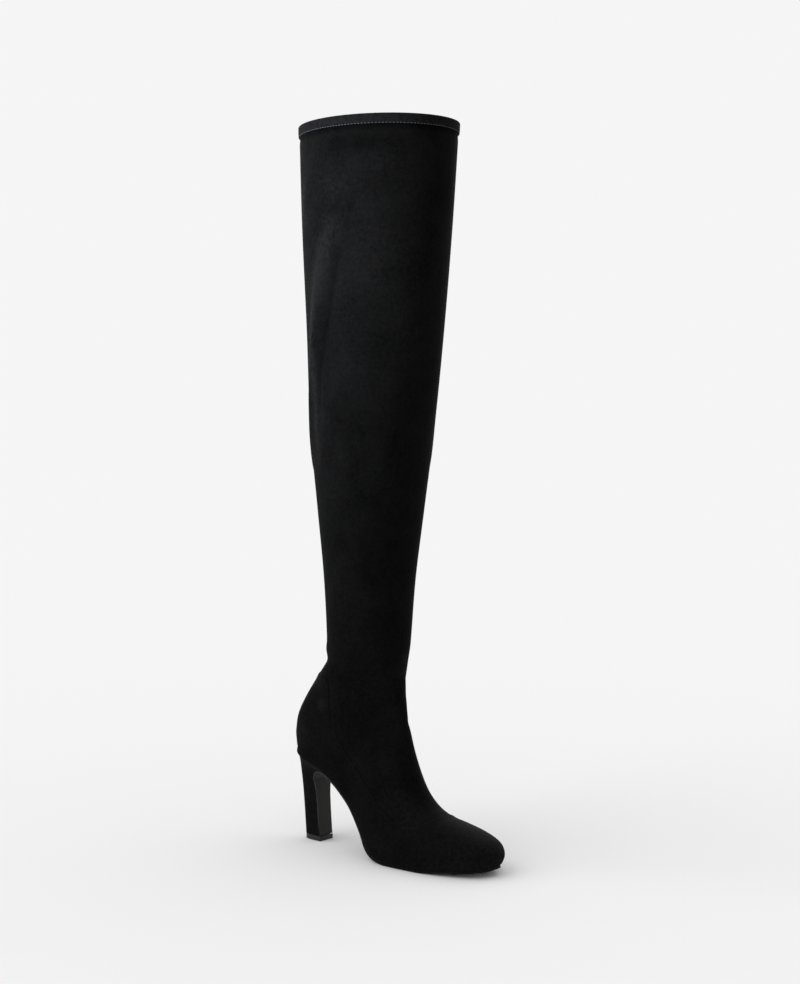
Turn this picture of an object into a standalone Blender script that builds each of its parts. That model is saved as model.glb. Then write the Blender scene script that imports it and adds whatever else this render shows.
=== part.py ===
"""A tall right boot of stretch microsuede with a slim covered heel, standing empty on its sole.

The pieces are those a maker joins: a pump-shaped upper, a sock-like shaft sewn to its top
line, an insole, an outsole that runs on down the breast of the heel, the covered heel and
its top lift. The origin is on the floor under the middle of the heel, the toe points to +X,
the wearer's left is +Y (the inner side of the foot) and up is +Z. Sizes are in metres.
"""

from collections import namedtuple

import bmesh
import bpy
import numpy as np

MM = 0.001

# Driving sizes
FOOT_LENGTH = 232 * MM      # back of the counter to the tip of the toe, level
BALL_WIDTH = 80 * MM        # across the joints, over the upper
HEEL_HEIGHT = 86 * MM       # back of the heel seat above the floor
COLLAR_HEIGHT = 670 * MM    # on the outer side
COLLAR_TILT = 0.075         # slope of the collar, rising to the inner side
TILT_ROWS = 3               # leg sections over which that slope comes in
HEEL_CENTRE = 0.0924        # middle of the heel's tread, as a share of the foot length

# Walls and gaps
UPPER_WALL = 1.8 * MM
SHAFT_WALL = 1.3 * MM
HEM_HEIGHT = 10.5 * MM
HEM_STEP = 1.0 * MM
HEM_PROFILE = ((0.05, 1.0), (0.85, 1.0), (1.0, 0.5))   # climb up the hem, share of its step
SOLE_THICKNESS = 2.0 * MM
FLAP_THICKNESS = 1.5 * MM
INSOLE_THICKNESS = 2.0 * MM
FIT_GAP = 0.3 * MM
INSOLE_SCALE = 0.92         # the insole's outline within the sole's edge
WELD = 0.001 * MM
SHARP_ANGLE = 0.7           # radians; sharper edges than this stay crisp

# Heel
LIFT_HEIGHT = 4.6 * MM
TIP_LENGTH = 22.5 * MM
TIP_WIDTH = 18 * MM
BREAST_HEIGHT = 58 * MM     # where the straight breast turns into the arch of the waist
BREAST_LEAN = 5.5 * MM      # how far the foot of the breast stands ahead of its top
BREAST_HANDLE = 11 * MM     # fullness of that turn at the breast
ARCH_HANDLE = 17 * MM       # and at the waist
BACK_ROUND = 3.2            # exponent of the post's rounded back
FLARE_POWER = 5.0           # how late the post widens to the heel seat
THIN_EDGE = 0.985           # where the heel's thin front lip under the seat stops

# Heel seat and toe in plan, as shares of the foot length
SEAT_BACK = 0.010
SEAT_WIDEST = 0.118
TOE_START = 0.70
TOE_END = 0.985             # tip of the sole, behind the front of the toe
ARCH_END = 0.245            # where the outsole leaves the upper for the heel's breast
WAIST_END = 0.55            # where the outsole reaches its full thickness
INSOLE_LENGTH = 0.965       # the insole's length within the sole's

# How finely the surfaces are faceted
LEG_RINGS = 16
UPPER_COLUMNS = 10
SHAFT_COLUMNS = 14
INSOLE_ROWS = 34
SOLE_COLUMNS = 6
BREAST_RINGS = 5
ARCH_RINGS = 8
HEEL_SIDE = 9

# The sole's edge: height as a share of the heel height, flat on the floor under the ball
TREAD_RISE = (SOLE_THICKNESS + FIT_GAP) / HEEL_HEIGHT
Rise = namedtuple("Rise", "along height")
SOLE_RISE = [
    Rise(0.010, 1.000), Rise(0.090, 0.932), Rise(0.180, 0.848), Rise(0.250, 0.745),
    Rise(0.331, 0.556), Rise(0.419, 0.275), Rise(0.463, 0.120), Rise(0.509, 0.050),
    Rise(0.570, TREAD_RISE), Rise(0.720, TREAD_RISE), Rise(0.790, 0.048), Rise(0.860, 0.065),
    Rise(0.920, 0.078), Rise(0.960, 0.088), Rise(TOE_END, 0.108),
]

# The sole's edge: half width between heel seat and toe, as a share of the ball width
Half = namedtuple("Half", "along width")
SOLE_HALF = [
    Half(0.118, 0.298), Half(0.220, 0.300), Half(0.330, 0.295), Half(0.410, 0.335),
    Half(0.480, 0.392), Half(0.550, 0.418), Half(0.620, 0.422), Half(0.700, 0.416),
]

# The sole's middle line: how far it swings to the inner side, as a share of the ball width
Swing = namedtuple("Swing", "along inward")
SOLE_SWING = [
    Swing(0.000, 0.000), Swing(0.380, 0.000), Swing(0.500, -0.020), Swing(0.600, -0.025),
    Swing(0.720, -0.014), Swing(0.850, 0.008), Swing(1.000, 0.020),
]

# Sections of the foot from toe to heel seat. low and top: where the section meets sole edge and
# ridge (foot lengths); height of the ridge (heel heights); wide: half width at its widest (ball
# widths), found at wide_at of the way up; crown: how full its top is; inward: lean of the ridge
FootRow = namedtuple("FootRow", "low top height wide wide_at crown inward")
FOOT_ROWS = [
    FootRow(0.985, 0.985, 0.108, 0.000, 0.45, 0.60, 0.020),
    FootRow(0.977, 0.995, 0.225, 0.134, 0.45, 0.60, 0.020),
    FootRow(0.955, 0.966, 0.318, 0.254, 0.42, 0.62, 0.020),
    FootRow(0.917, 0.926, 0.372, 0.340, 0.40, 0.62, 0.022),
    FootRow(0.859, 0.863, 0.424, 0.407, 0.38, 0.60, 0.025),
    FootRow(0.796, 0.787, 0.467, 0.458, 0.36, 0.58, 0.028),
    FootRow(0.694, 0.712, 0.514, 0.488, 0.34, 0.54, 0.030),
    FootRow(0.600, 0.660, 0.593, 0.500, 0.34, 0.50, 0.026),
    FootRow(0.510, 0.617, 0.735, 0.488, 0.36, 0.48, 0.016),
    FootRow(0.430, 0.589, 0.921, 0.445, 0.38, 0.47, 0.006),
    FootRow(0.330, 0.571, 1.124, 0.396, 0.40, 0.47, 0.000),
    FootRow(0.183, 0.558, 1.303, 0.378, 0.40, 0.50, 0.000),
    FootRow(0.080, 0.549, 1.416, 0.372, 0.40, 0.52, 0.000),
    FootRow(0.027, 0.542, 1.506, 0.372, 0.40, 0.54, 0.000),
    FootRow(0.010, 0.537, 1.573, 0.372, 0.41, 0.55, 0.000),
]

# Sections of the counter, ankle and leg up to the collar. back and front in foot lengths, their
# heights in collar heights, wide in ball widths
LegRow = namedtuple("LegRow", "back back_height front front_height wide wide_at")
LEG_ROWS = [
    LegRow(0.003, 0.141, 0.530, 0.213, 0.378, 0.42),
    LegRow(0.000, 0.154, 0.528, 0.226, 0.384, 0.44),
    LegRow(0.012, 0.178, 0.526, 0.241, 0.396, 0.46),
    LegRow(0.059, 0.206, 0.526, 0.257, 0.415, 0.47),
    LegRow(0.125, 0.236, 0.527, 0.274, 0.439, 0.48),
    LegRow(0.170, 0.258, 0.528, 0.288, 0.457, 0.49),
    LegRow(0.178, 0.290, 0.530, 0.306, 0.470, 0.50),
    LegRow(0.164, 0.380, 0.543, 0.384, 0.524, 0.50),
    LegRow(0.131, 0.478, 0.576, 0.478, 0.598, 0.50),
    LegRow(0.093, 0.587, 0.616, 0.587, 0.671, 0.50),
    LegRow(0.072, 0.725, 0.655, 0.725, 0.732, 0.50),
    LegRow(0.048, 0.870, 0.684, 0.870, 0.805, 0.50),
    LegRow(0.033, 1.011, 0.704, 1.004, 0.860, 0.50),
]

# How full the sections are between their widest points and the sole's edge or back seam, as the
# handle of a cubic curve: less than an ellipse over the edge of the heel seat, so that the counter
# doesn't overhang it, and more round the back
ROUND = 0.5523              # handle length that makes a cubic curve a quarter ellipse
Fullness = namedtuple("Fullness", "section handle")
FULLNESS = [
    Fullness(10.5, ROUND), Fullness(12.0, 0.46), Fullness(13.0, 0.42), Fullness(13.5, 0.50),
    Fullness(13.8, 0.58), Fullness(14.0, 0.68), Fullness(15.5, 0.68), Fullness(17.0, 0.63),
    Fullness(20.0, ROUND),
]

# The upper's top line, where the shaft is sewn on, from the throat to the back seam: the part of
# the half girth that it meets in each section, from the ridge (0) by the widest point (0.5) to
# the sole's edge or back seam (1)
Topline = namedtuple("Topline", "section girth")
TOPLINE = [
    Topline(5.92, 0.000), Topline(6.00, 0.140), Topline(6.25, 0.237), Topline(6.6, 0.285),
    Topline(7.1, 0.318), Topline(7.6, 0.338), Topline(8.4, 0.362), Topline(9.3, 0.420),
    Topline(10.1, 0.464), Topline(10.7, 0.470), Topline(12.0, 0.446), Topline(13.4, 0.436),
    Topline(14.2, 0.438), Topline(15.5, 0.462), Topline(17.2, 0.490), Topline(18.2, 0.532),
    Topline(18.7, 0.600), Topline(19.05, 0.740), Topline(19.4, 1.000),
]

# Rows of facets: how many there are up to each section, on the toe and beside the top line
Stretch = namedtuple("Stretch", "end rows")
TOE_STRETCHES = [Stretch(2, 4), Stretch(TOPLINE[0].section, 6)]
TOPLINE_STRETCHES = [
    Stretch(6.4, 4), Stretch(8, 4), Stretch(10, 4), Stretch(12, 7), Stretch(14, 5),
    Stretch(18, 6), Stretch(18.7, 2), Stretch(TOPLINE[-1].section, 5),
]

SEAT_ROW = len(FOOT_ROWS) - 1
COLLAR_ROW = len(FOOT_ROWS) + len(LEG_ROWS) - 1

Finish = namedtuple("Finish", "colour roughness")
MICROSUEDE = Finish((0.006, 0.006, 0.007), 0.95)
INSOLE_LINING = Finish((0.012, 0.012, 0.012), 0.80)
SOLE_LEATHER = Finish((0.023, 0.022, 0.018), 0.45)
LIFT_RUBBER = Finish((0.014, 0.015, 0.015), 0.35)


def smooth_line(knots, values, at):
    """A smooth curve through the knots that never swings past them, read at the given places."""
    knots, values = np.asarray(knots, float), np.asarray(values, float)
    step = np.diff(knots)
    slope = np.diff(values) / step
    tangent = np.zeros_like(values)
    same_way = slope[1:] * slope[:-1] > 0
    mean = 2 * slope[1:] * slope[:-1] / np.where(same_way, slope[1:] + slope[:-1], 1)
    tangent[1:-1] = np.where(same_way, mean, 0)
    tangent[0], tangent[-1] = slope[0], slope[-1]
    at = np.clip(at, knots[0], knots[-1])
    i = np.clip(np.searchsorted(knots, at, side="right") - 1, 0, len(step) - 1)
    t = (at - knots[i]) / step[i]
    bend = t * t * (3 - 2 * t)
    return (
        values[i] * (1 - bend) + values[i + 1] * bend
        + step[i] * t * (1 - t) * (tangent[i] * (1 - t) - tangent[i + 1] * t)
    )


def column(rows, name):
    return [getattr(row, name) for row in rows]


def level(along):
    """Distance ahead of the heel's middle of a share of the foot length."""
    return (np.asarray(along) - HEEL_CENTRE) * FOOT_LENGTH


def share(x):
    return np.asarray(x) / FOOT_LENGTH + HEEL_CENTRE


def sole_rise(along):
    return HEEL_HEIGHT * smooth_line(column(SOLE_RISE, "along"), column(SOLE_RISE, "height"), along)


def sole_swing(along):
    return BALL_WIDTH * smooth_line(column(SOLE_SWING, "along"), column(SOLE_SWING, "inward"), along)


def sole_half(along):
    """Half width of the sole's edge: a round heel seat, a waist and an elliptic toe."""
    along = np.asarray(along, float)
    width = smooth_line(column(SOLE_HALF, "along"), column(SOLE_HALF, "width"), along)
    seat = np.clip((SEAT_WIDEST - along) / (SEAT_WIDEST - SEAT_BACK), 0, 1)
    toe = np.clip((along - TOE_START) / (TOE_END - TOE_START), 0, 1)
    return BALL_WIDTH * width * np.sqrt(1 - seat ** 2) * np.sqrt(1 - toe ** 2)


def section_table():
    """One line per section: low x, low z, top x, top z, widest half width, where it is widest,
    crown, top y."""
    lines = []
    for row in FOOT_ROWS:
        lines.append((
            level(row.low), sole_rise(row.low), level(row.top), row.height * HEEL_HEIGHT,
            row.wide * BALL_WIDTH, row.wide_at, row.crown, row.inward * BALL_WIDTH,
        ))
    for row in LEG_ROWS:
        lines.append((
            level(row.back), row.back_height * COLLAR_HEIGHT,
            level(row.front), row.front_height * COLLAR_HEIGHT,
            row.wide * BALL_WIDTH, row.wide_at, ROUND, 0,
        ))
    return np.array(lines, float)


SECTIONS = section_table()


def section_at(place):
    """Section sizes at any place along the rows, on a curve through the rows."""
    tangent = np.gradient(SECTIONS, axis=0)
    i = np.clip(place.astype(int), 0, len(SECTIONS) - 2)
    t = (place - i)[..., None]
    bend = t * t * (3 - 2 * t)
    return (
        SECTIONS[i] * (1 - bend) + SECTIONS[i + 1] * bend
        + t * (1 - t) * (tangent[i] * (1 - t) - tangent[i + 1] * t)
    )


def cubic(a, b, c, d, t):
    return a * (1 - t) ** 3 + 3 * b * t * (1 - t) ** 2 + 3 * c * t ** 2 * (1 - t) + d * t ** 3


def last_surface(place, girth):
    """Outer surface of the boot. girth runs from -1 to 1 round a section: 0 on the ridge, half
    way at the widest points, 1 and -1 on the sole's two edges or together at the back seam."""
    sizes = np.moveaxis(section_at(place), -1, 0)
    low_x, low_z, top_x, top_z, wide, wide_at, crown, top_y = sizes
    along = share(low_x)
    on_sole = place <= SEAT_ROW
    low_z = np.where(on_sole, sole_rise(along), low_z)
    edge = np.where(on_sole, sole_half(along), 0)
    low_y = np.where(on_sole, sole_swing(along), 0)
    fullness = smooth_line(column(FULLNESS, "section"), column(FULLNESS, "handle"), place)
    tilt = COLLAR_TILT * np.clip(1 - (COLLAR_ROW - place) / TILT_ROWS, 0, 1) ** 2
    turn = np.abs(girth)
    upper_part = np.clip(2 * turn, 0, 1)
    lower_part = np.clip(2 * turn - 1, 0, 1)
    is_upper = turn <= 0.5
    half = np.where(
        is_upper,
        cubic(0, crown * wide, wide, wide, upper_part),
        cubic(wide, wide, edge + fullness * (wide - edge), edge, lower_part),
    )
    up = np.where(
        is_upper,
        cubic(1, 1, wide_at + ROUND * (1 - wide_at), wide_at, upper_part),
        cubic(wide_at, wide_at * (1 - ROUND), 0, 0, lower_part),
    )
    x = low_x + up * (top_x - low_x)
    y = low_y + up * (top_y - low_y) + np.sign(girth) * half
    z = low_z + up * (top_z - low_z) + tilt * y
    return np.stack([x, y, z], axis=-1)


def stations(start, stretches):
    """Places along the rows where facets begin."""
    places = [start]
    for stretch in stretches:
        places.extend(np.linspace(places[-1], stretch.end, stretch.rows + 1)[1:])
    return np.array(places)


def topline_girth(place):
    return smooth_line(column(TOPLINE, "section"), column(TOPLINE, "girth"), place)


def topline():
    """Points of the top line from the back round the outer side, the throat and the inner side
    to the back again, and half the fitting gap at each, along the surface toward the shaft."""
    half_place = stations(TOPLINE[0].section, TOPLINE_STRETCHES)
    place = np.concatenate([half_place[::-1], half_place[1:]])
    girth = topline_girth(place)
    throat = len(half_place) - 1
    girth[:throat] *= -1
    points = last_surface(place, girth)
    ahead = np.concatenate([points[1:], points[1:2]])
    behind = np.concatenate([points[-2:-1], points[:-1]])
    probe = 0.01
    climb = last_surface(place + probe, girth) - points
    low, high = np.clip(girth - probe, -1, 1), np.clip(girth + probe, -1, 1)
    around = last_surface(place, high) - last_surface(place, low)
    across = np.cross(np.cross(climb, around), ahead - behind)
    across *= np.sign((across[throat] * climb[throat]).sum())
    return points, 0.5 * FIT_GAP * across / np.linalg.norm(across, axis=1, keepdims=True)


def upper_places():
    toe = stations(0, TOE_STRETCHES)
    return np.concatenate([toe, stations(toe[-1], TOPLINE_STRETCHES)[1:]])


def upper_patches():
    """Outer and inner half of the upper as rows of points from the toe to the back seam. The
    halves meet on the ridge before the throat and under the top line at the back."""
    points, half_gap = topline()
    sewn = points - half_gap
    throat = len(points) // 2
    before_throat = len(stations(0, TOE_STRETCHES)) - 1
    patches = []
    for side in (-1, 1):
        rows = []
        for i, place in enumerate(upper_places()):
            girth = side * np.linspace(topline_girth(place), 1, UPPER_COLUMNS + 1)[::side]
            row = last_surface(np.full_like(girth, place), girth)
            if i >= before_throat:
                row[0 if side > 0 else -1] = sewn[throat + side * (i - before_throat)]
            rows.append(row)
        rows[-1][:] = sewn[0]
        patches.append(rows)
    return patches


def away_from_leg(ring):
    """Level unit vectors from the middle of a ring to its points."""
    arm = ring - ring.mean(axis=0)
    arm[:, 2] = 0
    return arm / np.linalg.norm(arm, axis=1, keepdims=True)


def shaft_rings():
    """Rows from the throat up the instep, then rings up the leg from the back of the top line to
    the collar; the last three are the turned hem, a step outward."""
    points, half_gap = topline()
    sewn = points + half_gap
    throat = len(points) // 2
    spread = np.linspace(-1, 1, 2 * SHAFT_COLUMNS + 1)
    top_row_height = (LEG_ROWS[-1].back_height - LEG_ROWS[-2].back_height) * COLLAR_HEIGHT
    hem_place = COLLAR_ROW - HEM_HEIGHT / top_row_height
    instep = stations(TOPLINE[0].section, TOPLINE_STRETCHES)
    leg = np.linspace(instep[-1], hem_place, LEG_RINGS + 1)[1:]
    rings = []
    for place in np.concatenate([instep, leg]):
        rings.append(last_surface(np.full_like(spread, place), spread * topline_girth(place)))
    rings[0][:] = sewn[throat]
    for i in range(1, throat + 1):
        rings[i][0] = sewn[throat - i]
        rings[i][-1] = sewn[throat + i]
    foot = rings[-1]
    head = last_surface(np.full_like(spread, COLLAR_ROW), spread)
    out = away_from_leg(head) * HEM_STEP
    for climb, step in HEM_PROFILE:
        rings.append(foot + (head - foot) * climb + out * step)
    return rings


def breast_x(height):
    """Front of the flap on the heel's breast."""
    return TIP_LENGTH / 2 - BREAST_LEAN * height / BREAST_HEIGHT


def arch_path(t):
    """Side view of the outsole's inner face where it leaves the waist (t = 0) for the breast (t = 1)."""
    step = 0.001
    leave = np.array([level(ARCH_END), sole_rise(ARCH_END) - FIT_GAP])
    before = np.array([level(ARCH_END + step), sole_rise(ARCH_END + step) - FIT_GAP])
    rearward = (leave - before) / np.linalg.norm(leave - before)
    land = np.array([breast_x(BREAST_HEIGHT) - FLAP_THICKNESS, BREAST_HEIGHT])
    upward = np.array([-BREAST_LEAN, BREAST_HEIGHT]) / np.hypot(BREAST_LEAN, BREAST_HEIGHT)
    t = np.asarray(t)[:, None]
    return cubic(leave, leave + rearward * ARCH_HANDLE, land + upward * BREAST_HANDLE, land, t)


def breast_path(t):
    """Side view of the flap's inner face from the end of the arch (t = 0) to the top lift (t = 1)."""
    height = BREAST_HEIGHT + (LIFT_HEIGHT + FIT_GAP - BREAST_HEIGHT) * np.asarray(t)
    return np.stack([breast_x(height) - FLAP_THICKNESS, height], axis=-1)


def heel_path():
    """Arch and breast in one line from under the waist to the top lift."""
    arch = arch_path(np.linspace(0, 1, ARCH_RINGS + 1))
    return np.concatenate([arch, breast_path(np.linspace(0, 1, BREAST_RINGS + 1))[1:]])


def heel_climb(x, z):
    """How far a point is on its way from the top lift to the heel seat above it, 0 to 1."""
    foot = LIFT_HEIGHT + FIT_GAP
    return (z - foot) / (sole_rise(share(x)) - FIT_GAP - foot)


def heel_half(climb, x, back_share):
    """Half width of the heel: a slim post with a rounded back that flares late to the seat."""
    flare = np.clip(climb, 0, 1) ** FLARE_POWER
    post = TIP_WIDTH / 2 * (1 - back_share ** BACK_ROUND) ** (1 / BACK_ROUND)
    return post * (1 - flare) + sole_half(share(x)) * flare


def heel_ring(front, climb):
    """Outline of the heel at one stage of its climb, from the front round the back and home."""
    back_share = np.sin(np.linspace(0, np.pi / 2, HEEL_SIDE + 1))
    seat_back = level(SEAT_BACK)
    back = -TIP_LENGTH / 2 + (seat_back + TIP_LENGTH / 2) * climb
    x = front + (back - front) * back_share
    foot = LIFT_HEIGHT + FIT_GAP
    z = foot + climb * (sole_rise(share(x)) - FIT_GAP - foot)
    half = heel_half(climb, x, back_share)
    outer = np.stack([x, -half, z], axis=-1)
    inner = np.stack([x, half, z], axis=-1)[::-1]
    return np.concatenate([outer, inner[1:]])


def heel_rings():
    """Rings of the covered heel from the top lift to the heel seat, clear of the flap."""
    rings = []
    path = heel_path()[::-1]
    along = np.gradient(path, axis=0)
    to_heel = np.stack([-along[:, 1], along[:, 0]], axis=-1) / np.linalg.norm(along, axis=1, keepdims=True)
    for x, z in path + to_heel * FIT_GAP:
        climb = heel_climb(x, z)
        if climb < THIN_EDGE:
            rings.append(heel_ring(x, climb))
            front = x
    rings.append(heel_ring(front, 1.0))
    return rings


def lift_rings():
    back_share = np.sin(np.linspace(0, np.pi / 2, HEEL_SIDE + 1))
    x = TIP_LENGTH / 2 - TIP_LENGTH * back_share
    half = heel_half(0.0, x, back_share)
    rings = []
    for z in (0, LIFT_HEIGHT):
        outer = np.stack([x, -half, np.full_like(x, z)], axis=-1)
        inner = np.stack([x, half, np.full_like(x, z)], axis=-1)[::-1]
        rings.append(np.concatenate([outer, inner[1:]]))
    return rings


def outsole_rows():
    """Rows across the outsole's inner face from the toe, along the waist and down the breast."""
    along = share(section_at(upper_places())[:, 0])
    along = along[:np.argmax(along < ARCH_END)]
    x, z = level(along), sole_rise(along) - FIT_GAP
    half, middle = sole_half(along), sole_swing(along)
    path = heel_path()
    path_half = heel_half(heel_climb(path[:, 0], path[:, 1]), path[:, 0], np.zeros(len(path)))
    x, z = np.concatenate([x, path[:, 0]]), np.concatenate([z, path[:, 1]])
    half = np.concatenate([half, path_half])
    middle = np.concatenate([middle, sole_swing(share(path[:, 0]))])
    across = np.linspace(-1, 1, SOLE_COLUMNS + 1)[None, :]
    y = middle[:, None] + half[:, None] * across
    x = np.broadcast_to(x[:, None], y.shape)
    z = np.broadcast_to(z[:, None], y.shape)
    return np.stack([x, y, z], axis=-1)


def outsole_wall(point):
    """The outsole is thick under the forefoot and skived thin for the waist and the flap."""
    skived = smooth_line([0, ARCH_END, WAIST_END, 1], [1, 1, 0, 0], share(point.x))
    return SOLE_THICKNESS + (FLAP_THICKNESS - SOLE_THICKNESS) * skived


def shaft_wall(point):
    is_hem = point.z > COLLAR_HEIGHT - HEM_HEIGHT + WELD
    return SHAFT_WALL + HEM_STEP * is_hem


def insole_rows():
    """Rows across the insole's lower face, the sole's outline drawn in on all sides."""
    middle_along = (SEAT_BACK + TOE_END) / 2
    turn = np.linspace(np.pi, 0, INSOLE_ROWS)
    sole_along = middle_along + (TOE_END - SEAT_BACK) / 2 * np.cos(turn)
    along = middle_along + (sole_along - middle_along) * INSOLE_LENGTH
    half = sole_half(sole_along) * INSOLE_SCALE
    across = np.linspace(-1, 1, SOLE_COLUMNS + 1)[None, :]
    y = sole_swing(along)[:, None] + half[:, None] * across
    x = np.broadcast_to(level(along)[:, None], y.shape)
    z = np.broadcast_to(sole_rise(along)[:, None] + FIT_GAP, y.shape)
    return np.stack([x, y, z], axis=-1)


def finish_material(name, finish):
    material = bpy.data.materials.new(name)
    material.use_nodes = True
    shader = material.node_tree.nodes["Principled BSDF"]
    shader.inputs["Base Color"].default_value = (*finish.colour, 1)
    shader.inputs["Roughness"].default_value = finish.roughness
    shader.inputs["Metallic"].default_value = 0
    return material


def add_piece(name, mesh, finish, collection, parent):
    data = bpy.data.meshes.new(name)
    mesh.to_mesh(data)
    mesh.free()
    data.shade_smooth()
    data.set_sharp_from_angle(angle=SHARP_ANGLE)
    data.materials.append(finish_material(name + "_finish", finish))
    piece = bpy.data.objects.new(name, data)
    collection.objects.link(piece)
    piece.parent = parent
    return piece


def lofted_sheet(*patches):
    """An open surface through patches of rows of points, welded where points coincide."""
    mesh = bmesh.new()
    for rows in patches:
        verts = [[mesh.verts.new(point) for point in row] for row in rows]
        for row, following in zip(verts, verts[1:]):
            for a, b, c, d in zip(row, row[1:], following[1:], following):
                mesh.faces.new((a, b, c, d))
    bmesh.ops.remove_doubles(mesh, verts=mesh.verts, dist=WELD)
    return mesh


def lofted_solid(rings):
    """A closed body through rings that are each a mirror outline, capped straight across."""
    mesh = bmesh.new()
    verts = [[mesh.verts.new(point) for point in ring] for ring in rings]
    for ring, following in zip(verts, verts[1:]):
        for i in range(len(ring)):
            j = (i + 1) % len(ring)
            mesh.faces.new((ring[i], ring[j], following[j], following[i]))
    for ring in (verts[0], verts[-1]):
        count = len(ring)
        for i in range(count // 2):
            corners = [ring[i], ring[i + 1], ring[count - 2 - i], ring[count - 1 - i]]
            mesh.faces.new(list(dict.fromkeys(corners)))
    bmesh.ops.recalc_face_normals(mesh, faces=mesh.faces)
    return mesh


def give_wall(piece, thickness, local_wall=None):
    """Turns a sheet into a wall on its inner side; local_wall thins it from point to point."""
    wall = piece.modifiers.new("wall", "SOLIDIFY")
    wall.thickness = thickness
    wall.offset = -1
    if local_wall:
        group = piece.vertex_groups.new(name="wall")
        for vert in piece.data.vertices:
            group.add([vert.index], float(local_wall(vert.co)) / thickness, "REPLACE")
        wall.vertex_group = group.name
        wall.thickness_vertex_group = 0


def clear_scene():
    for thing in list(bpy.data.objects):
        bpy.data.objects.remove(thing, do_unlink=True)


def build():
    clear_scene()
    collection = bpy.data.collections.new("tall_boot")
    bpy.context.scene.collection.children.link(collection)
    root = bpy.data.objects.new("boot_root", None)
    collection.objects.link(root)

    upper = add_piece("upper", lofted_sheet(*upper_patches()), MICROSUEDE, collection, root)
    give_wall(upper, UPPER_WALL)
    shaft = add_piece("shaft", lofted_sheet(shaft_rings()), MICROSUEDE, collection, root)
    give_wall(shaft, SHAFT_WALL + HEM_STEP, shaft_wall)
    outsole = add_piece("outsole", lofted_sheet(outsole_rows()), SOLE_LEATHER, collection, root)
    give_wall(outsole, SOLE_THICKNESS, outsole_wall)
    insole = add_piece("insole", lofted_sheet(insole_rows()), INSOLE_LINING, collection, root)
    give_wall(insole, INSOLE_THICKNESS)
    add_piece("heel", lofted_solid(heel_rings()), MICROSUEDE, collection, root)
    add_piece("top_lift", lofted_solid(lift_rings()), LIFT_RUBBER, collection, root)


build()
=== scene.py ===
"""The looks of a tall right boot of black stretch microsuede with a slim covered heel.

Every piece repeats the form of its solid from the same sizes, far finer, and adds what the
solids leave out: the turned hem with its stitches, the overlapped top line, the back seam, soft
folds, the nap of the suede, the inked edge of the sole and rounded edges. Painted highlights and
painted shade are drawn into the colour of the suede and of the sole's edge. The toe points to +X,
the inner side is +Y, up is +Z, and the origin is on the floor under the middle of the heel.
"""

from collections import namedtuple

import bmesh
import bpy
import numpy as np
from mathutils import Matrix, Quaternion, Vector


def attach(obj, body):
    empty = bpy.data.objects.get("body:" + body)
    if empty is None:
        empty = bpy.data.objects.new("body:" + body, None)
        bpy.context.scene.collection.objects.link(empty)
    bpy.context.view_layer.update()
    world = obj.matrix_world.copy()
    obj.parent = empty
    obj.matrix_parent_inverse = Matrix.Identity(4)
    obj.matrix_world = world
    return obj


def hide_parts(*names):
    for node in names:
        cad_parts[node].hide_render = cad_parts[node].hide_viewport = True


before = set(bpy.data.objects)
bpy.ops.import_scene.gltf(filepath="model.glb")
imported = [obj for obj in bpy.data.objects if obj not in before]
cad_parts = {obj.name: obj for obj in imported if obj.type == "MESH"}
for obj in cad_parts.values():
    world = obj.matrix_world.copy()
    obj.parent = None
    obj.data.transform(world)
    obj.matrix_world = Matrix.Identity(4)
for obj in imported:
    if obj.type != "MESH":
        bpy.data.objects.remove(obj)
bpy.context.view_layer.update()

MM = 0.001

# Driving sizes, as in the solids
FOOT_LENGTH = 232 * MM
BALL_WIDTH = 80 * MM
HEEL_HEIGHT = 86 * MM
COLLAR_HEIGHT = 670 * MM    # on the outer side
HEEL_CENTRE = 0.0924        # middle of the heel's tread, as a share of the foot length

# Walls and gaps
UPPER_WALL = 1.8 * MM
SHAFT_WALL = 1.3 * MM
HEM_HEIGHT = 10.5 * MM
HEM_STEP = 1.0 * MM
HEM_THICKNESS = 2.3 * MM    # two layers of cloth round the fold at the collar
HEM_CLOTH = 1.1 * MM
SOLE_THICKNESS = 2.0 * MM
FLAP_THICKNESS = 1.5 * MM
INSOLE_THICKNESS = 2.0 * MM
FIT_GAP = 0.3 * MM
COLLAR_TILT = 0.075         # slope of the collar, rising to the inner side
TILT_ROWS = 3               # leg sections over which that slope comes in
INSOLE_SCALE = 0.92
INSOLE_LENGTH = 0.965
WELD = 0.001 * MM

# Heel
LIFT_HEIGHT = 4.6 * MM
TIP_LENGTH = 22.5 * MM
TIP_WIDTH = 18 * MM
BREAST_HEIGHT = 58 * MM
BREAST_LEAN = 5.5 * MM
BREAST_HANDLE = 11 * MM
ARCH_HANDLE = 17 * MM
BACK_ROUND = 3.2
FLARE_POWER = 5.0
THIN_EDGE = 0.985

# Heel seat and toe in plan, as shares of the foot length
SEAT_BACK = 0.010
SEAT_WIDEST = 0.118
TOE_START = 0.70
TOE_END = 0.985
ARCH_END = 0.245
WAIST_END = 0.55

# The sole's edge: height as a share of the heel height, flat on the floor under the ball
TREAD_RISE = (SOLE_THICKNESS + FIT_GAP) / HEEL_HEIGHT
Rise = namedtuple("Rise", "along height")
SOLE_RISE = [
    Rise(0.010, 1.000), Rise(0.090, 0.932), Rise(0.180, 0.848), Rise(0.250, 0.745),
    Rise(0.331, 0.556), Rise(0.419, 0.275), Rise(0.463, 0.120), Rise(0.509, 0.050),
    Rise(0.570, TREAD_RISE), Rise(0.720, TREAD_RISE), Rise(0.790, 0.048), Rise(0.860, 0.065),
    Rise(0.920, 0.078), Rise(0.960, 0.088), Rise(TOE_END, 0.108),
]

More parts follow.
